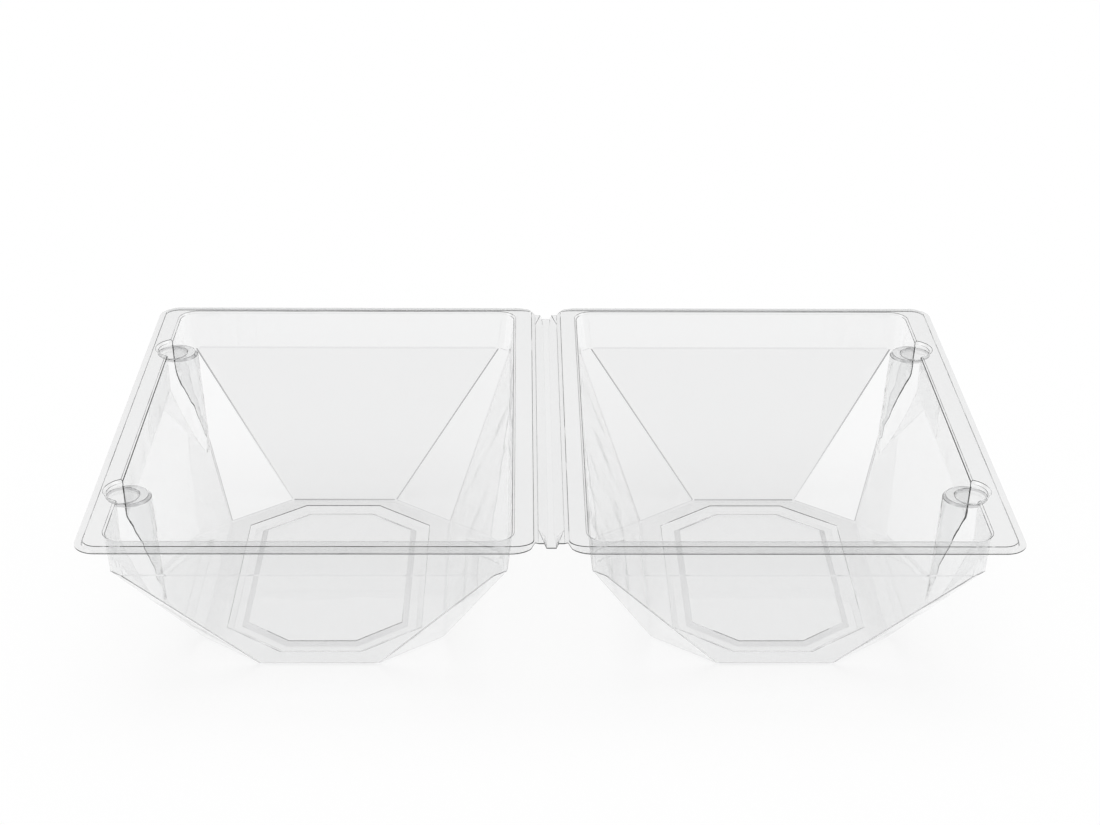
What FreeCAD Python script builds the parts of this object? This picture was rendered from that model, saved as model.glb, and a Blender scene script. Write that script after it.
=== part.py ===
"""Clear folding flower box, thermoformed in one piece from thin plastic sheet.

Two deep trays lie open side by side, joined by a living hinge. Each tray stands on an
octagonal foot, its walls lean outward to an upright collar, and a flat flange with a
trimmed lip runs round the top. Two hollow posts stand in the outer side of each tray.

Millimetres. The origin is on the floor, under the middle of the hinge. +X points to the
lid tray, +Y to the back and +Z up. The whole sheet is made of two bodies that meet in
the middle of the hinge: base_tray at -X and lid_tray at +X.
"""

import FreeCAD, Part
import math
import os
from FreeCAD import Vector

# Sheet
SHEET = 0.5  # thickness after forming

# Tray, measured between the outer shoulders of its flange
TRAY_WIDTH = 200.0  # along X
TRAY_DEPTH = 272.0  # along Y
RIM_HEIGHT = 93.0  # top of the flange above the floor

# Flange and trimmed lip
FLANGE_ENDS = 5.2  # front and back
FLANGE_HINGE_BASE = 9.0
FLANGE_HINGE_LID = 8.1
FLANGE_OUTER_BASE = 8.4
FLANGE_OUTER_LID = 10.4
SHOULDER_RADIUS = 7.0  # corners of the flange, seen from above
LIP_DROP = 1.7
LIP_RUN = 0.5  # how far the drop leans out
LIP_WIDTH = 3.0
TRIM_RADIUS = 10.5  # outer corners of the cut edge
RIM_BEVEL = 1.0  # where the flange turns down into the collar

# Collar, the upright band under the flange
COLLAR_HEIGHT = 20.0
COLLAR_DRAFT_ENDS = 3.7  # how far it leans in over its height
COLLAR_DRAFT_HINGE = 2.3
COLLAR_DRAFT_OUTER = 0.5
COLLAR_RADIUS = 9.0

# Walls and the octagonal foot that they stand on
WALL_LEAN_ENDS = 43.1  # how far a wall leans in from the collar to the foot
WALL_LEAN_HINGE = 31.8
WALL_LEAN_OUTER = 30.0
FOOT_CORNER_X = 31.0  # how much of each foot edge a corner facet takes
FOOT_CORNER_Y = 25.2
FACET_SETBACK = 2.8  # how far the corner facets start inside the collar's corners
FOOT_ROUND = 1.5
WALL_ROUND = 1.5  # where two walls meet
COLLAR_BEVEL = 0.6  # half the strip where a wall bends into the collar

# Bottom, dished up inside the foot, with a bead that comes down to the floor again
DISH_RISE = 1.5
BEAD_INSET_SIDES = 11.2
BEAD_INSET_ENDS = 8.8
BEAD_INSET_CORNERS = 12.0
BEAD_WIDTH = 10.0
BEAD_SLOPE = 3.0
BEAD_DEPTH = 1.5

# Hollow posts
POST_RADIUS = 10.5
POST_BELOW_RIM = 2.8
POST_DRAFT_DEG = 3.4
POST_FROM_SHOULDER_BASE = 12.8
POST_FROM_SHOULDER_LID = 14.8
POST_FROM_END = 54.4  # from the shoulder at the tray's end
RECESS_RADIUS = 7.4
RECESS_DEPTH = 1.0
RECESS_SHIFT = 2.5  # towards the outer side
RECESS_SLOPE = 0.6
POST_BEVEL = 1.2  # at its top edge
NOTCH_RADIUS = 10.1  # of the notch that a post's top makes in the flange
NOTCH_BEVEL = 1.4

# Living hinge, a trough between the two trays
HINGE_HALF_WIDTH = 8.0  # from its middle to the trays' shoulders
HINGE_SHOULDER_RUN = 2.1
HINGE_SHOULDER_DROP = 1.7
HINGE_FLOOR_HALF = 1.3
HINGE_FLOOR_DROP = 4.0
HINGE_SETBACK = 9.5  # how far its ends stay behind the cut edge
HINGE_CORNER_RADIUS = 11.0  # of the cut edge where a tray's end runs into the hinge
HINGE_CORNER_TURN = 75.0  # degrees that it turns through
HINGE_CORNER_SHIFT = 1.0  # how far it reaches in past the shoulder
HINGE_END_LENGTH = 13.0  # where the trough narrows to its trimmed end
HINGE_END_HALF = 3.2  # half its width there, at the top
HINGE_END_FLOOR_HALF = 2.2

# Derived places, for a tray on the +X side
SHOULDER_HINGE_X = HINGE_HALF_WIDTH
SHOULDER_OUTER_X = HINGE_HALF_WIDTH + TRAY_WIDTH
SHOULDER_Y = TRAY_DEPTH / 2
LIP_REACH = LIP_RUN + LIP_WIDTH
COLLAR_FOOT_Z = RIM_HEIGHT - COLLAR_HEIGHT
POST_TOP_Z = RIM_HEIGHT - POST_BELOW_RIM
HINGE_FOOT_X = HINGE_HALF_WIDTH - HINGE_SHOULDER_RUN
HEADROOM = 8.0  # how far the shapes that cut the sheet out reach past it
MARGIN = 1.0  # for picking edges, and for shapes that cut right through
BEVEL_LOSS = 2 - math.sqrt(2)  # of a square bend's bevel, for each mm moved inward
SIGNS = (-1, 1)


def halfspace(point, normal):
    """A block whose face stands at point, filling the side that normal points to."""
    size = 4 * (TRAY_WIDTH + TRAY_DEPTH)
    block = Part.makeBox(size, size, size, Vector(-size / 2, -size / 2, 0))
    block.Placement = FreeCAD.Placement(
        point, FreeCAD.Rotation(Vector(0, 0, 1), normal)
    )
    return block


def bounded(block, planes):
    """block with everything outside each (point, outward normal) cut away."""
    for point, normal in planes:
        block = block.cut(halfspace(point, normal))
    return block


def moved_in(planes, distance):
    """The same planes, each moved against its own normal."""
    moved = []
    for point, normal in planes:
        unit = Vector(normal).normalize()
        moved.append((point - unit * distance, unit))
    return moved


def tray_block(low, high):
    """A block over the whole tray and half the hinge, between two heights."""
    reach = SHOULDER_OUTER_X + LIP_REACH + HEADROOM
    depth = 2 * (SHOULDER_Y + LIP_REACH + HEADROOM)
    corner = Vector(-HEADROOM, -depth / 2, low)
    return Part.makeBox(reach + HEADROOM, depth, high - low, corner)


def upright_edges(solid):
    """The edges of a block that run from its bottom face to its top face."""
    height = solid.BoundBox.ZLength
    return [edge for edge in solid.Edges if edge.BoundBox.ZLength > 0.9 * height]


def rounded_block(sides, low, high, radius):
    """A block between two heights, its sides the given planes and its corners rounded."""
    block = bounded(tray_block(low, high), sides)
    return block.makeFillet(radius, upright_edges(block))


def flange_inner(flanges):
    """Hinge-side X, outer X and half depth of the flange's inner edge."""
    hinge_side, outer_side = flanges
    hinge_x = SHOULDER_HINGE_X + hinge_side
    return hinge_x, SHOULDER_OUTER_X - outer_side, SHOULDER_Y - FLANGE_ENDS


def collar_sides(flanges):
    """The four drafted planes of the collar."""
    hinge_x, outer_x, half_y = flange_inner(flanges)
    planes = [
        (Vector(hinge_x, 0, RIM_HEIGHT), Vector(-COLLAR_HEIGHT, 0, -COLLAR_DRAFT_HINGE)),
        (Vector(outer_x, 0, RIM_HEIGHT), Vector(COLLAR_HEIGHT, 0, -COLLAR_DRAFT_OUTER)),
    ]
    for sign in SIGNS:
        outward = Vector(0, sign * COLLAR_HEIGHT, -COLLAR_DRAFT_ENDS)
        planes.append((Vector(0, sign * half_y, RIM_HEIGHT), outward))
    return planes


def plane_through(first, second, third, outward):
    """(point, normal) of the plane through three points, facing the way of outward."""
    normal = (second - first).cross(third - first)
    if normal.dot(outward) < 0:
        normal = -normal
    return first, normal


def foot_sides(flanges):
    """Hinge-side X, outer X and half depth of the octagonal foot."""
    hinge_x, outer_x, half_y = flange_inner(flanges)
    foot_hinge_x = hinge_x + COLLAR_DRAFT_HINGE + WALL_LEAN_HINGE
    foot_outer_x = outer_x - COLLAR_DRAFT_OUTER - WALL_LEAN_OUTER
    return foot_hinge_x, foot_outer_x, half_y - COLLAR_DRAFT_ENDS - WALL_LEAN_ENDS


def wall_planes(flanges):
    """The planes of the four walls and the four corner facets between them."""
    foot_hinge_x, foot_outer_x, foot_y = foot_sides(flanges)
    foot_x = {-1: foot_hinge_x, 1: foot_outer_x}
    collar_x = {-1: foot_hinge_x - WALL_LEAN_HINGE, 1: foot_outer_x + WALL_LEAN_OUTER}
    collar_y = foot_y + WALL_LEAN_ENDS
    planes = []
    for sx in SIGNS:
        foot = Vector(foot_x[sx], 0, 0)
        top = Vector(collar_x[sx], 0, COLLAR_FOOT_Z)
        planes.append(plane_through(foot, foot + Vector(0, 1, 0), top, Vector(sx, 0, 0)))
    for sy in SIGNS:
        foot = Vector(0, sy * foot_y, 0)
        top = Vector(0, sy * collar_y, COLLAR_FOOT_Z)
        planes.append(plane_through(foot, foot + Vector(1, 0, 0), top, Vector(0, sy, 0)))
    for sx in SIGNS:
        for sy in SIGNS:
            end = Vector(foot_x[sx] - sx * FOOT_CORNER_X, sy * foot_y, 0)
            side = Vector(foot_x[sx], sy * (foot_y - FOOT_CORNER_Y), 0)
            apex = Vector(
                collar_x[sx] - sx * FACET_SETBACK,
                sy * (collar_y - FACET_SETBACK),
                COLLAR_FOOT_Z,
            )
            planes.append(plane_through(end, side, apex, Vector(sx, sy, 0)))
    return planes


def collar_bevels(flanges):
    """The planes of the narrow strips where the four walls bend into the collar."""
    collar = collar_sides(flanges)
    bevels = []
    for (rim_point, collar_out), (foot_point, wall_out) in zip(collar, wall_planes(flanges)):
        wall_out = Vector(wall_out).normalize()
        outward = Vector(collar_out).normalize() + wall_out
        level = wall_out.cross(Vector(0, 0, 1))
        down_wall = wall_out.cross(level).normalize()
        if down_wall.z > 0:
            down_wall = -down_wall
        climb = (foot_point.z - COLLAR_FOOT_Z) / down_wall.z
        bend = foot_point - down_wall * climb
        bevels.append((bend + down_wall * COLLAR_BEVEL, outward))
    return bevels


def sloping_edges(solid, low, high):
    """Edges that climb, with both ends between two heights."""
    found = []
    for edge in solid.Edges:
        box = edge.BoundBox
        if box.ZLength > MARGIN and box.ZMin > low and box.ZMax < high:
            found.append(edge)
    return found


def level_edges(solid, height):
    """Edges that lie at one height."""
    return [
        edge
        for edge in solid.Edges
        if abs(edge.BoundBox.ZMin - height) < 1e-4 and abs(edge.BoundBox.ZMax - height) < 1e-4
    ]


def cavity(flanges, inset):
    """The room inside a tray, its surface moved in by inset."""
    top = RIM_HEIGHT + HEADROOM
    planes = moved_in(wall_planes(flanges), inset)
    walls = bounded(tray_block(inset, COLLAR_FOOT_Z + HEADROOM), planes)
    ridges = sloping_edges(walls, inset - MARGIN, top)
    walls = walls.makeFillet(WALL_ROUND + SHEET - inset, ridges)
    walls = walls.makeFillet(FOOT_ROUND + SHEET - inset, level_edges(walls, inset))
    sides = moved_in(collar_sides(flanges), inset)
    collar = rounded_block(sides, -HEADROOM, top, COLLAR_RADIUS - inset)
    above = tray_block(COLLAR_FOOT_Z, top)
    room = collar.common(walls.fuse(above)).removeSplitter()
    return bounded(room, moved_in(collar_bevels(flanges), inset))


def octagon_frustum(flanges, insets_low, low, insets_high, high, bottom, top):
    """A solid whose eight sides pass through the foot octagon inset at two heights.

    Each insets value is (sides, ends, corners). The sides are carried on to bottom and top.
    """
    foot_hinge_x, foot_outer_x, foot_y = foot_sides(flanges)
    foot_x = {-1: foot_hinge_x, 1: foot_outer_x}
    edges = []
    for sx in SIGNS:
        edges.append((Vector(foot_x[sx], 0, low), Vector(sx, 0, 0), 0))
        for sy in SIGNS:
            corner = Vector(foot_x[sx] - sx * FOOT_CORNER_X, sy * foot_y, low)
            outward = Vector(sx * FOOT_CORNER_Y, sy * FOOT_CORNER_X, 0).normalize()
            edges.append((corner, outward, 2))
    for sy in SIGNS:
        edges.append((Vector(0, sy * foot_y, low), Vector(0, sy, 0), 1))
    sides = []
    for point, outward, kind in edges:
        lean = (insets_high[kind] - insets_low[kind]) / (high - low)
        sides.append((point - outward * insets_low[kind], outward + Vector(0, 0, lean)))
    return bounded(tray_block(bottom, top), sides)


def bottom_shapes(flanges, inset):
    """(room to close under the dished bottom, room to open inside its bead)."""
    landing = (FOOT_ROUND, FOOT_ROUND, FOOT_ROUND)
    outer = (BEAD_INSET_SIDES, BEAD_INSET_ENDS, BEAD_INSET_CORNERS)
    outer_low = tuple(value + BEAD_SLOPE for value in outer)
    inner = tuple(value + BEAD_WIDTH for value in outer)
    inner_low = tuple(value - BEAD_SLOPE for value in inner)
    high = DISH_RISE + inset
    low = high - BEAD_DEPTH
    dish = octagon_frustum(flanges, landing, inset, outer, high, -HEADROOM, high)
    channel = octagon_frustum(flanges, outer_low, low, outer, high, low, high)
    island = octagon_frustum(flanges, inner_low, low, inner, high, low - MARGIN, high + MARGIN)
    return dish, channel.cut(island)


def flange_plateau(inset):
    """What lies under the flange, with the drop to its lip and to the hinge."""
    slack = SHEET - inset
    drop = Vector(LIP_DROP, 0, LIP_RUN)
    hinge_drop = Vector(-HINGE_SHOULDER_DROP, 0, HINGE_SHOULDER_RUN)
    planes = [
        (Vector(SHOULDER_OUTER_X - slack, 0, RIM_HEIGHT), drop),
        (Vector(SHOULDER_HINGE_X + slack, 0, RIM_HEIGHT), hinge_drop),
    ]
    for sign in SIGNS:
        outward = Vector(0, sign * LIP_DROP, LIP_RUN)
        planes.append((Vector(0, sign * (SHOULDER_Y - slack), RIM_HEIGHT), outward))
    top = RIM_HEIGHT - slack
    return rounded_block(planes, top - HEADROOM, top, SHOULDER_RADIUS + inset)


def trough_section(shoulder_x, floor_x, y, inset):
    """Half of the hinge trough's section, a closed wire at one place along it."""
    drop = SHEET - inset
    profile = [
        (shoulder_x, RIM_HEIGHT - HINGE_SHOULDER_DROP - drop),
        (floor_x, RIM_HEIGHT - HINGE_FLOOR_DROP - drop),
        (-HEADROOM, RIM_HEIGHT - HINGE_FLOOR_DROP - drop),
        (-HEADROOM, RIM_HEIGHT + HEADROOM),
        (shoulder_x, RIM_HEIGHT + HEADROOM),
    ]
    points = [Vector(x, y, z) for x, z in profile]
    return Part.makePolygon(points + points[:1])


def hinge_trough(inset):
    """The room in the trough of the living hinge, narrowing towards its two ends."""
    end_y = SHOULDER_Y + LIP_REACH - HINGE_SETBACK
    full_y = end_y - HINGE_END_LENGTH
    middle = Part.Face(trough_section(HINGE_FOOT_X, HINGE_FLOOR_HALF, -full_y, inset))
    trough = middle.extrude(Vector(0, 2 * full_y, 0))
    for sign in SIGNS:
        wide = trough_section(HINGE_FOOT_X, HINGE_FLOOR_HALF, sign * full_y, inset)
        narrow = trough_section(HINGE_END_HALF, HINGE_END_FLOOR_HALF, sign * end_y, inset)
        trough = trough.fuse(Part.makeLoft([wide, narrow], True, True))
        run_out = Part.Face(narrow).extrude(Vector(0, sign * (HINGE_SETBACK + HEADROOM), 0))
        trough = trough.fuse(run_out)
    return trough


def post_shapes(post_x, post_y, inset):
    """(the post, the room above it and in its recess) at one place."""
    lift = inset - SHEET
    draft = math.tan(math.radians(POST_DRAFT_DEG))
    top = POST_TOP_Z + lift
    radius = POST_RADIUS + lift
    axis = Vector(0, 0, 1)
    post = Part.makeCone(
        radius + draft * POST_TOP_Z, radius, top, Vector(post_x, post_y, 0), axis
    )
    post = post.makeChamfer(POST_BEVEL + lift * BEVEL_LOSS, level_edges(post, top))
    notch_radius = NOTCH_RADIUS - lift
    place = Vector(post_x, post_y, top)
    room = Part.makeCylinder(notch_radius, POST_BELOW_RIM, place, axis)
    bevel = NOTCH_BEVEL + lift * BEVEL_LOSS
    reach = bevel + HEADROOM
    start = Vector(post_x, post_y, RIM_HEIGHT + lift - bevel)
    room = room.fuse(Part.makeCone(notch_radius, notch_radius + reach, reach, start, axis))
    floor = Vector(post_x + RECESS_SHIFT, post_y, top - RECESS_DEPTH)
    recess = Part.makeCone(
        RECESS_RADIUS - RECESS_SLOPE - lift, RECESS_RADIUS - lift, RECESS_DEPTH, floor, axis
    )
    return post, room.fuse(recess)


def room_above(flanges, post_from_shoulder, inset):
    """Everything above the sheet. inset 0 gives its lower face, SHEET its upper one."""
    slack = SHEET - inset
    rim = RIM_HEIGHT - slack
    room = tray_block(RIM_HEIGHT - LIP_DROP - slack, RIM_HEIGHT + HEADROOM)
    room = room.cut(flange_plateau(inset))
    room = room.fuse(cavity(flanges, inset)).removeSplitter()
    hinge_x, outer_x, half_y = flange_inner(flanges)
    inner_edges = [
        edge
        for edge in level_edges(room, rim)
        if hinge_x - MARGIN < edge.CenterOfMass.x < outer_x + MARGIN
        and abs(edge.CenterOfMass.y) < half_y + MARGIN
    ]
    room = room.makeChamfer(RIM_BEVEL - slack * BEVEL_LOSS, inner_edges)
    dish, channel = bottom_shapes(flanges, inset)
    room = room.cut(dish).fuse(channel)
    room = room.fuse(hinge_trough(inset))
    post_x = SHOULDER_OUTER_X - post_from_shoulder
    for sign in SIGNS:
        post_y = sign * (SHOULDER_Y - POST_FROM_END)
        post, opening = post_shapes(post_x, post_y, inset)
        room = room.cut(post).fuse(opening)
    return room


def arc_through(centre, radius, start_deg, end_deg):
    """An arc in the XY plane."""
    points = []
    for degrees in (start_deg, (start_deg + end_deg) / 2, end_deg):
        angle = math.radians(degrees)
        points.append(centre + Vector(radius * math.cos(angle), radius * math.sin(angle), 0))
    return Part.Arc(*points).toShape()


def trim_prism():
    """The outline that the sheet is trimmed to, seen from above, as a tall prism."""
    outer_x = SHOULDER_OUTER_X + LIP_REACH
    end_y = SHOULDER_Y + LIP_REACH
    hinge_end_y = end_y - HINGE_SETBACK
    notch_x = HINGE_HALF_WIDTH + HINGE_CORNER_RADIUS - HINGE_CORNER_SHIFT
    half = []
    middle = Vector(0, -hinge_end_y, 0)
    notch = arc_through(
        Vector(notch_x, HINGE_CORNER_RADIUS - end_y, 0),
        HINGE_CORNER_RADIUS,
        -90 - HINGE_CORNER_TURN,
        -90,
    )
    corner = arc_through(
        Vector(outer_x - TRIM_RADIUS, TRIM_RADIUS - end_y, 0), TRIM_RADIUS, -90, 0
    )
    hinge_foot = Vector(HINGE_FOOT_X, -hinge_end_y, 0)
    half.append(Part.makeLine(middle, hinge_foot))
    half.append(Part.makeLine(hinge_foot, notch.Vertexes[0].Point))
    half.append(notch)
    half.append(Part.makeLine(notch.Vertexes[-1].Point, corner.Vertexes[0].Point))
    half.append(corner)
    half.append(Part.makeLine(corner.Vertexes[-1].Point, Vector(outer_x, 0, 0)))
    other = [edge.mirror(Vector(), Vector(0, 1, 0)) for edge in half]
    closing = Part.makeLine(middle, Vector(0, hinge_end_y, 0))
    edges = Part.__sortEdges__(half + other + [closing])
    face = Part.Face(Part.Wire(edges))
    face.translate(Vector(0, 0, -HEADROOM))
    return face.extrude(Vector(0, 0, RIM_HEIGHT + 2 * HEADROOM))


def tray(flanges, post_from_shoulder):
    """One tray with its half of the hinge, on the +X side."""
    lower = room_above(flanges, post_from_shoulder, 0)
    upper = room_above(flanges, post_from_shoulder, SHEET)
    sheet = lower.cut(upper).common(trim_prism())
    solids = sheet.Solids
    return max(solids, key=lambda solid: solid.Volume)


def main():
    """Builds both trays and writes one STEP file for each."""
    os.makedirs("parts", exist_ok=True)
    lid = tray((FLANGE_HINGE_LID, FLANGE_OUTER_LID), POST_FROM_SHOULDER_LID)
    base = tray((FLANGE_HINGE_BASE, FLANGE_OUTER_BASE), POST_FROM_SHOULDER_BASE)
    base = base.mirror(Vector(), Vector(1, 0, 0))
    base.exportStep("parts/base_tray.step")
    lid.exportStep("parts/lid_tray.step")


main()
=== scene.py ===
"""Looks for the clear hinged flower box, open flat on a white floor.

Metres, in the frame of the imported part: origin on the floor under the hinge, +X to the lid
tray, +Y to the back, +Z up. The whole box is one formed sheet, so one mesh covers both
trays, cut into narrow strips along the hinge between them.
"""

import math

import bmesh
import bpy
from mathutils import Matrix, Vector

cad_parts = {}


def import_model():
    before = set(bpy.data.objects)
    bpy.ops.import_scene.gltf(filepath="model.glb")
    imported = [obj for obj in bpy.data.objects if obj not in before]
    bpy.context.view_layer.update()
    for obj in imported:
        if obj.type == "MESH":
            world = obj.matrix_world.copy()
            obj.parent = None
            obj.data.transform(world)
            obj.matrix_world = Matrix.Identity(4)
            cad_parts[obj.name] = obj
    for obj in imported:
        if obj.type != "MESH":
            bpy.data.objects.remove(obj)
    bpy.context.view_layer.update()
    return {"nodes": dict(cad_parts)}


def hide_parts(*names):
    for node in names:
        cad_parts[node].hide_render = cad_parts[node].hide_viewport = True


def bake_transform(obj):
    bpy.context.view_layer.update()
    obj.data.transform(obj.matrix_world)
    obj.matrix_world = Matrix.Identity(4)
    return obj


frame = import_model()

# Camera
CAMERA_PLACE = Vector((-0.0141, -0.9935, 0.5656))
CAMERA_DOWN = math.radians(25.4)  # how far it looks below level
CAMERA_RIGHT = math.radians(0.86)  # how far it turns from +Y towards +X
CAMERA_ROLL = math.radians(0.45)
CAMERA_LENS = 72.5  # mm
CAMERA_SENSOR = 36  # mm wide
CAMERA_REACH = 30

# Sheet
WELD = 1e-5
SMOOTH_ANGLE = math.radians(25)  # sharper bends keep a crisp edge
HINGE_HALF_WIDTH = 0.008
HINGE_STRIPS = 16  # on each side of its middle
HINGE_REACH = 0.02  # faces that start nearer the middle than this are cut into strips
FILM_INDEX = 1.57
FILM_ROUGHNESS = 0.02
WAVE_SIZE = 30.0  # waves in a metre
WAVE_DEPTH = 0.0001
WAVE_DETAIL = 1.5
GRAZING_POWER = 8.0  # how suddenly the film stops light that grazes it

FINISHES = {  # colour, share of lamp light let through. Every colour but clear_film's is painted shade: a dark line or band drawn on the clear film
    "clear_film": ((0.94, 0.942, 0.943, 1), 0.95),
    # painted shade: the sheet's cut edge drawn near black
    "cut_edge_painted_shade": ((0.02, 0.02, 0.02, 1), 0.5),
    # painted shade: a dark line on the narrow folds that face the front or back
    "tight_fold_painted_shade": ((0.42, 0.42, 0.425, 1), 0.3),
    # painted shade: a faint dark line on the other folds
    "soft_fold_painted_shade": ((0.88, 0.88, 0.885, 1), 0.9),
    # painted shade: a darker band on the inner slope of each bottom's bead
    "bead_slope_painted_shade": ((0.84, 0.84, 0.845, 1), 0.9),
    # painted shade: dark rings round the rim and recess of each post's top
    "post_ring_painted_shade": ((0.72, 0.72, 0.725, 1), 0.9),
    # painted shade: a near-black line low on the turn from the flange into the wall, between
    # the posts
    "rim_turn_painted_shade": ((0.03, 0.03, 0.03, 1), 0.9),
}
FINISH_NAMES = list(FINISHES)

# Where each finish goes: the painted shade lines and bands, and the clear film
CUT_EDGE_INSIDE = (0.2105, 0.129)  # half width and half depth of all but the cut edge
CUT_EDGE_LOWEST = 0.0884
UPRIGHT = 0.05  # upright faces look up or down by less than this
TIGHT_FOLD_FACET = 0.00026  # width
TIGHT_FOLD_BENDS = (math.radians(2.5), math.radians(9))
SOFT_FOLD_FACET = 0.0013
SOFT_FOLD_BENDS = (math.radians(9), math.radians(11))
FOLD_LENGTH = 0.03
END_FOLD = 0.5  # folds that face the ends at least so much get the darker painted shade
POST_SPAN = (0.17, 0.209, 0.12)  # nearest and farthest X, farthest Y
POST_TOPS = (0.0882, 0.0903)
POST_TILT = (0.3, 0.9)
RIM_TURN_SPAN = (0.195, 0.202, 0.07)  # nearest and farthest X, farthest Y
RIM_TURN_HEIGHTS = (0.09, 0.0924)
RIM_TURN_TILT = (0.5, 0.9)
TRAY_MIDDLE = 0.1101  # of each bottom, from the hinge
BEAD_TOP = 0.0022
BEAD_TILT = (0.87, 0.92)

# Studio
FLOOR_HALF = 8.0
FLOOR_DROP = 0.0002  # below the feet
FLOOR_WHITE = 0.96
FLOOR_GLOW = 0.65  # share of the floor's white that no shadow darkens
FLOOR_DIM = (-0.6, -0.45)  # from here forwards, the film mirrors the floor dimmer
AMBIENT = 0.5
ROOM_FRONT = 0.032  # what reflections see of the room in front and above
ROOM_BACK = 0.6
ROOM_FLOOR = 0.45  # and of the floor in front
ROOM_BACK_FROM = (0.45, 0.75)  # how far to the back the room turns from dark to light
SIDE_BOX_LEVEL = 1.2  # the soft boxes high at each side
SIDE_BOX_ASIDE = (0.45, 0.6)
SIDE_BOX_HIGH = (0.58, 0.8)
HORIZON = (0.0, 0.06)
TOP_LIGHT = 1.65
TOP_LIGHT_SPREAD = math.radians(50)
TOP_LIGHT_HEIGHT = 2
FILM_BOUNCES = 32


def cut(form, faces, place, direction):
    """Cut the faces along a plane through a place, square to a direction."""
    edges = {edge for face in faces for edge in face.edges}
    corners = {vert for face in faces for vert in face.verts}
    geom = faces + list(edges) + list(corners)
    bmesh.ops.bisect_plane(form, geom=geom, plane_co=place, plane_no=direction, dist=WELD)


def hinged_sheet():
    """The whole sheet as one mesh, both trays joined along the middle of the hinge."""
    form = bmesh.new()
    for name in ("base_tray", "lid_tray"):
        form.from_mesh(frame["nodes"][name].data)
    bmesh.ops.remove_doubles(form, verts=form.verts, dist=WELD)
    inner = [f for f in form.faces if all(abs(v.co.x) < WELD for v in f.verts)]
    bmesh.ops.delete(form, geom=inner, context="FACES_ONLY")
    # Cut the rim's faces at the top of the painted shade line low on its turn into the wall.
    rim = [f for f in form.faces if abs(f.normal.z) < RIM_TURN_TILT[1]]
    rim = [f for f in rim if max(v.co.z for v in f.verts) > RIM_TURN_HEIGHTS[1]]
    cut(form, rim, (0, 0, RIM_TURN_HEIGHTS[1]), (0, 0, 1))
    mark_finishes(form)
    for strip in range(1, 2 * HINGE_STRIPS):
        x = HINGE_HALF_WIDTH * (strip / HINGE_STRIPS - 1)
        near = [f for f in form.faces if min(abs(v.co.x) for v in f.verts) < HINGE_REACH]
        cut(form, near, (x, 0, 0), (1, 0, 0))
    mesh = bpy.data.meshes.new("formed_sheet")
    form.to_mesh(mesh)
    form.free()
    for name in ("custom_normal", "sharp_edge", "sharp_face"):
        layer = mesh.attributes.get(name)
        if layer is not None:
            mesh.attributes.remove(layer)
    mesh.shade_smooth()
    mesh.set_sharp_from_angle(angle=SMOOTH_ANGLE)
    sharpen_bead(mesh)
    sheet = bpy.data.objects.new("formed_sheet", mesh)
    bpy.context.scene.collection.objects.link(sheet)
    even = sheet.modifiers.new("even_normals", "WEIGHTED_NORMAL")
    even.keep_sharp = True
    even.weight = 100
    return sheet


def between(value, limits):
    """Whether the value is strictly between two limits."""
    return limits[0] < value < limits[1]


def is_in_span(point, span):
    """Whether the point is between two distances from the hinge and near enough to Y 0."""
    return between(abs(point.x), span) and abs(point.y) < span[2]


def is_cut_edge(face):
    """Whether the face is on the outer cut edge of the sheet."""
    middle = face.calc_center_median()
    outside = abs(middle.x) > CUT_EDGE_INSIDE[0] or abs(middle.y) > CUT_EDGE_INSIDE[1]
    return outside and abs(face.normal.z) < UPRIGHT and middle.z > CUT_EDGE_LOWEST


def is_fold(face, facet, bends):
    """Whether the face is one long narrow facet of a fold that bends by so much."""
    length = max(edge.calc_length() for edge in face.edges)
    width = 2 * face.calc_area() / length
    along = [edge for edge in face.edges if edge.calc_length() > length / 2]
    bend = max(edge.calc_face_angle(0.0) for edge in along)
    return length > FOLD_LENGTH and width < facet and between(bend, bends)


def is_inner_bead_slope(face):
    """Whether the face is on the side of a bottom's bead that is nearer its middle."""
    middle, normal = face.calc_center_median(), face.normal
    if middle.z > BEAD_TOP or not between(abs(normal.z), BEAD_TILT):
        return False
    outwards = middle.x - math.copysign(TRAY_MIDDLE, middle.x)
    return (outwards * normal.x + middle.y * normal.y) * normal.z > 0


def is_post_ring(face):
    """Whether the face is on the rim or the recess edge of a post's top."""
    middle = face.calc_center_median()
    at_top = is_in_span(middle, POST_SPAN) and between(middle.z, POST_TOPS)
    return at_top and between(abs(face.normal.z), POST_TILT)


def is_rim_turn(face):
    """Whether the face is low on the turn from the flange into the wall, between two posts."""
    middle = face.calc_center_median()
    on_turn = is_in_span(middle, RIM_TURN_SPAN) and between(face.normal.z, RIM_TURN_TILT)
    return on_turn and between(middle.z, RIM_TURN_HEIGHTS)


def finish_of(face):
    """The name of the face's finish."""
    # Every finish but clear_film paints a shade line or band on the faces it gets.
    if is_cut_edge(face):
        return "cut_edge_painted_shade"
    if is_fold(face, TIGHT_FOLD_FACET, TIGHT_FOLD_BENDS):
        return "tight_fold_painted_shade" if abs(face.normal.y) > END_FOLD else "soft_fold_painted_shade"
    if is_fold(face, SOFT_FOLD_FACET, SOFT_FOLD_BENDS):
        return "soft_fold_painted_shade"
    if is_inner_bead_slope(face):
        return "bead_slope_painted_shade"
    if is_rim_turn(face):
        return "rim_turn_painted_shade"
    return "post_ring_painted_shade" if is_post_ring(face) else "clear_film"


def mark_finishes(form):
    """Number each face by its finish, in the order of FINISHES."""
    for face in form.faces:
        face.material_index = FINISH_NAMES.index(finish_of(face))


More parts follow.
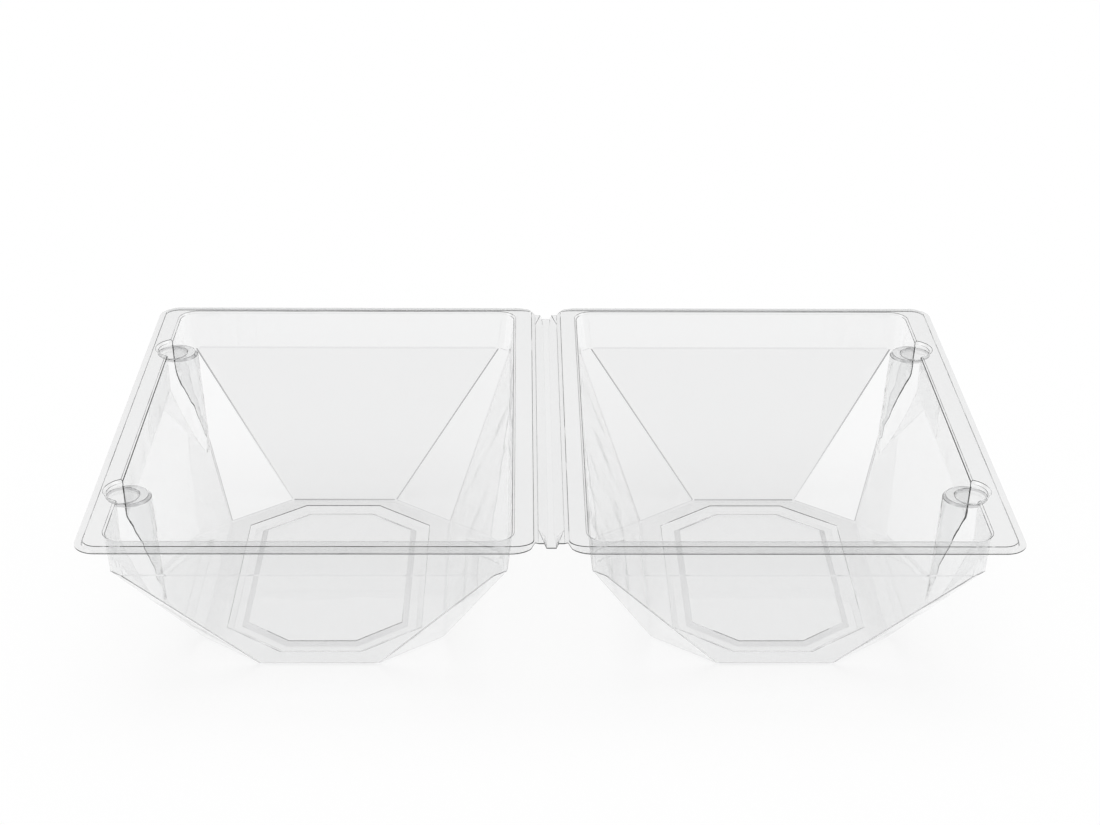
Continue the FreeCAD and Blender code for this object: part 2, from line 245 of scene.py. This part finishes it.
def sharpen_bead(mesh):
    """Crisp lines along both sides of each bead's inner slope."""
    sharp = mesh.attributes["sharp_edge"].data
    # The faces with the bead's painted shade finish mark the inner slopes.
    bead = FINISH_NAMES.index("bead_slope_painted_shade")
    slopes = {}
    for face in mesh.polygons:
        for key in face.edge_keys:
            slopes.setdefault(key, []).append(face.material_index == bead)
    for edge in mesh.edges:
        sides = slopes.get(edge.key, [])
        if any(sides) and not all(sides):
            sharp[edge.index].value = True


def add_value_input(group, name, default):
    """Add a number input to a node group."""
    socket = group.interface.new_socket(name, in_out="INPUT", socket_type="NodeSocketFloat")
    socket.default_value = default


def film_waviness_group():
    """Make the node group of a formed film's slow waves, which puts out a normal."""
    group = bpy.data.node_groups.new("film_waviness", "ShaderNodeTree")
    add_value_input(group, "Wave Size", WAVE_SIZE)
    add_value_input(group, "Wave Depth", WAVE_DEPTH)
    group.interface.new_socket("Normal", in_out="OUTPUT", socket_type="NodeSocketVector")
    nodes, links = group.nodes, group.links
    inputs = nodes.new("NodeGroupInput")
    output = nodes.new("NodeGroupOutput")
    place = nodes.new("ShaderNodeTexCoord")
    waves = nodes.new("ShaderNodeTexNoise")
    waves.inputs["Detail"].default_value = WAVE_DETAIL
    bump = nodes.new("ShaderNodeBump")
    bump.inputs["Strength"].default_value = 1.0
    links.new(place.outputs["Object"], waves.inputs["Vector"])
    links.new(inputs.outputs["Wave Size"], waves.inputs["Scale"])
    links.new(waves.outputs["Fac"], bump.inputs["Height"])
    links.new(inputs.outputs["Wave Depth"], bump.inputs["Distance"])
    links.new(bump.outputs["Normal"], output.inputs["Normal"])


def light_through_film(nodes, links, tint):
    """How lamps and soft light pass the film: less where they graze it."""
    slant = nodes.new("ShaderNodeLayerWeight")
    slant.inputs["Blend"].default_value = 0.5
    steep = nodes.new("ShaderNodeMath")
    steep.operation = "POWER"
    steep.inputs[1].default_value = GRAZING_POWER
    links.new(slant.outputs["Facing"], steep.inputs[0])
    passed = nodes.new("ShaderNodeBsdfTransparent")
    passed.inputs["Color"].default_value = (tint, tint, tint, 1)
    stopped = nodes.new("ShaderNodeBsdfTransparent")
    stopped.inputs["Color"].default_value = (0, 0, 0, 1)
    share = nodes.new("ShaderNodeMixShader")
    links.new(steep.outputs[0], share.inputs[0])
    links.new(passed.outputs[0], share.inputs[1])
    links.new(stopped.outputs[0], share.inputs[2])
    return share.outputs[0]


def film_material(name, colour, tint):
    """Clear glossy film of a colour. Lamps and soft light reach through it, dimmed."""
    material = bpy.data.materials.new(name)
    material.use_nodes = True
    nodes, links = material.node_tree.nodes, material.node_tree.links
    nodes.clear()
    waviness = nodes.new("ShaderNodeGroup")
    waviness.node_tree = bpy.data.node_groups["film_waviness"]
    film = nodes.new("ShaderNodeBsdfPrincipled")
    film.inputs["Base Color"].default_value = colour
    film.inputs["Transmission Weight"].default_value = 1.0
    film.inputs["Roughness"].default_value = FILM_ROUGHNESS
    film.inputs["IOR"].default_value = FILM_INDEX
    links.new(waviness.outputs["Normal"], film.inputs["Normal"])
    rays = nodes.new("ShaderNodeLightPath")
    lamp_rays = nodes.new("ShaderNodeMath")
    lamp_rays.operation = "MAXIMUM"
    links.new(rays.outputs["Is Shadow Ray"], lamp_rays.inputs[0])
    links.new(rays.outputs["Is Diffuse Ray"], lamp_rays.inputs[1])
    choose = nodes.new("ShaderNodeMixShader")
    links.new(lamp_rays.outputs[0], choose.inputs[0])
    links.new(film.outputs[0], choose.inputs[1])
    links.new(light_through_film(nodes, links, tint), choose.inputs[2])
    output = nodes.new("ShaderNodeOutputMaterial")
    links.new(choose.outputs[0], output.inputs["Surface"])
    return material


def ramp_between(nodes, links, source, start, end):
    """A smooth step of source from 0 at start to 1 at end."""
    ramp = nodes.new("ShaderNodeMapRange")
    ramp.interpolation_type = "SMOOTHSTEP"
    ramp.inputs["From Min"].default_value = start
    ramp.inputs["From Max"].default_value = end
    links.new(source, ramp.inputs["Value"])
    return ramp.outputs["Result"]


def mixed(nodes, links, factor, low, high):
    """A number mixed from low to high, each a constant or a socket."""
    mix = nodes.new("ShaderNodeMix")
    mix.data_type = "FLOAT"
    links.new(factor, mix.inputs["Factor"])
    for name, value in (("A", low), ("B", high)):
        if isinstance(value, float):
            mix.inputs[name].default_value = value
        else:
            links.new(value, mix.inputs[name])
    return mix.outputs["Result"]


def mirrored(nodes, links):
    """1 for what a reflection sees, also through more film, 0 for all else."""
    rays = nodes.new("ShaderNodeLightPath")
    reflected = nodes.new("ShaderNodeMath")
    reflected.operation = "GREATER_THAN"
    reflected.inputs[1].default_value = 0.5
    links.new(rays.outputs["Glossy Depth"], reflected.inputs[0])
    return reflected.outputs[0]


def seen_directly(nodes, links):
    """1 for what the camera, a reflection or the clear film sees, 0 for soft light."""
    rays = nodes.new("ShaderNodeLightPath")
    total = rays.outputs["Is Camera Ray"]
    for name in ("Is Glossy Ray", "Is Transmission Ray"):
        either = nodes.new("ShaderNodeMath")
        either.operation = "MAXIMUM"
        links.new(total, either.inputs[0])
        links.new(rays.outputs[name], either.inputs[1])
        total = either.outputs[0]
    return total


def white_floor():
    """A pale floor that keeps soft shadows."""
    material = bpy.data.materials.new("white_floor")
    material.use_nodes = True
    nodes, links = material.node_tree.nodes, material.node_tree.links
    nodes.clear()
    place = nodes.new("ShaderNodeNewGeometry")
    split = nodes.new("ShaderNodeSeparateXYZ")
    links.new(place.outputs["Position"], split.inputs[0])
    near = ramp_between(nodes, links, split.outputs["Y"], *FLOOR_DIM)
    shown = mixed(nodes, links, near, ROOM_FLOOR, 1.0)
    level = mixed(nodes, links, mirrored(nodes, links), 1.0, shown)
    albedo = nodes.new("ShaderNodeMath")
    albedo.operation = "MULTIPLY"
    albedo.inputs[1].default_value = FLOOR_WHITE
    links.new(level, albedo.inputs[0])
    paint = nodes.new("ShaderNodeBsdfDiffuse")
    links.new(albedo.outputs[0], paint.inputs["Color"])
    glow = nodes.new("ShaderNodeEmission")
    glow.inputs["Color"].default_value = (1, 1, 1, 1)
    links.new(level, glow.inputs["Strength"])
    share = nodes.new("ShaderNodeMath")
    share.operation = "MULTIPLY"
    share.inputs[1].default_value = FLOOR_GLOW
    links.new(seen_directly(nodes, links), share.inputs[0])
    mix = nodes.new("ShaderNodeMixShader")
    links.new(share.outputs[0], mix.inputs[0])
    links.new(paint.outputs[0], mix.inputs[1])
    links.new(glow.outputs[0], mix.inputs[2])
    output = nodes.new("ShaderNodeOutputMaterial")
    links.new(mix.outputs[0], output.inputs["Surface"])
    return material


def floor():
    """A large flat floor."""
    form = bmesh.new()
    corners = ((-1, -1), (1, -1), (1, 1), (-1, 1))
    form.faces.new([form.verts.new((FLOOR_HALF * x, FLOOR_HALF * y, 0)) for x, y in corners])
    mesh = bpy.data.meshes.new("floor")
    form.to_mesh(mesh)
    form.free()
    plane = bpy.data.objects.new("floor", mesh)
    plane.location.z = -FLOOR_DROP
    bpy.context.scene.collection.objects.link(plane)
    mesh.materials.append(white_floor())


def world():
    """Even soft light in a white surround. The film and its reflections see a dark room above
    the horizon instead, lighter at the back, with a soft box high at each side.
    """
    surround = bpy.data.worlds.new("studio")
    bpy.context.scene.world = surround
    surround.use_nodes = True
    nodes, links = surround.node_tree.nodes, surround.node_tree.links
    nodes.clear()
    place = nodes.new("ShaderNodeTexCoord")
    split = nodes.new("ShaderNodeSeparateXYZ")
    links.new(place.outputs["Generated"], split.inputs[0])
    sideways = nodes.new("ShaderNodeMath")
    sideways.operation = "ABSOLUTE"
    links.new(split.outputs["X"], sideways.inputs[0])
    beside = ramp_between(nodes, links, sideways.outputs[0], *SIDE_BOX_ASIDE)
    high = ramp_between(nodes, links, split.outputs["Z"], *SIDE_BOX_HIGH)
    in_box = nodes.new("ShaderNodeMath")
    in_box.operation = "MULTIPLY"
    links.new(beside, in_box.inputs[0])
    links.new(high, in_box.inputs[1])
    behind = ramp_between(nodes, links, split.outputs["Y"], *ROOM_BACK_FROM)
    room = mixed(nodes, links, behind, ROOM_FRONT, ROOM_BACK)
    room = mixed(nodes, links, in_box.outputs[0], room, SIDE_BOX_LEVEL)
    above = ramp_between(nodes, links, split.outputs["Z"], *HORIZON)
    rays = nodes.new("ShaderNodeLightPath")
    below = mixed(nodes, links, mirrored(nodes, links), 1.0, ROOM_FLOOR)
    through = mixed(nodes, links, above, below, room)
    direct = mixed(nodes, links, rays.outputs["Is Diffuse Ray"], 1.0, AMBIENT)
    bent = nodes.new("ShaderNodeMath")
    bent.operation = "MAXIMUM"
    links.new(rays.outputs["Is Glossy Ray"], bent.inputs[0])
    links.new(rays.outputs["Is Transmission Ray"], bent.inputs[1])
    background = nodes.new("ShaderNodeBackground")
    background.inputs["Color"].default_value = (1, 1, 1, 1)
    level = mixed(nodes, links, bent.outputs[0], direct, through)
    links.new(level, background.inputs["Strength"])
    output = nodes.new("ShaderNodeOutputWorld")
    links.new(background.outputs[0], output.inputs["Surface"])


def film_bounces():
    """Enough bounces for light that runs along inside the film."""
    cycles = bpy.context.scene.cycles
    cycles.max_bounces = FILM_BOUNCES
    cycles.glossy_bounces = FILM_BOUNCES
    cycles.transmission_bounces = FILM_BOUNCES
    cycles.transparent_max_bounces = 2 * FILM_BOUNCES


def top_light():
    """A broad light overhead, for the soft shadow close under the box."""
    data = bpy.data.lights.new("top_light", "SUN")
    data.energy = TOP_LIGHT
    data.angle = TOP_LIGHT_SPREAD
    lamp = bpy.data.objects.new("top_light", data)
    lamp.location.z = TOP_LIGHT_HEIGHT
    lamp.visible_glossy = False
    lamp.visible_transmission = False
    bpy.context.scene.collection.objects.link(lamp)


def camera():
    """The camera, in front and above, looking down on the open box."""
    data = bpy.data.cameras.new("camera")
    data.lens = CAMERA_LENS
    data.sensor_width = CAMERA_SENSOR
    data.clip_end = CAMERA_REACH
    eye = bpy.data.objects.new("camera", data)
    eye.matrix_world = (
        Matrix.Translation(CAMERA_PLACE)
        @ Matrix.Rotation(-CAMERA_RIGHT, 4, "Z")
        @ Matrix.Rotation(math.pi / 2 - CAMERA_DOWN, 4, "X")
        @ Matrix.Rotation(CAMERA_ROLL, 4, "Z")
    )
    bpy.context.scene.collection.objects.link(eye)
    bpy.context.scene.camera = eye


bpy.context.scene.view_settings.view_transform = "Standard"
film_bounces()
camera()
world()
top_light()
floor()
sheet = hinged_sheet()
film_waviness_group()
for name, (colour, tint) in FINISHES.items():
    sheet.data.materials.append(film_material(name, colour, tint))
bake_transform(sheet)
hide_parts("base_tray", "lid_tray")
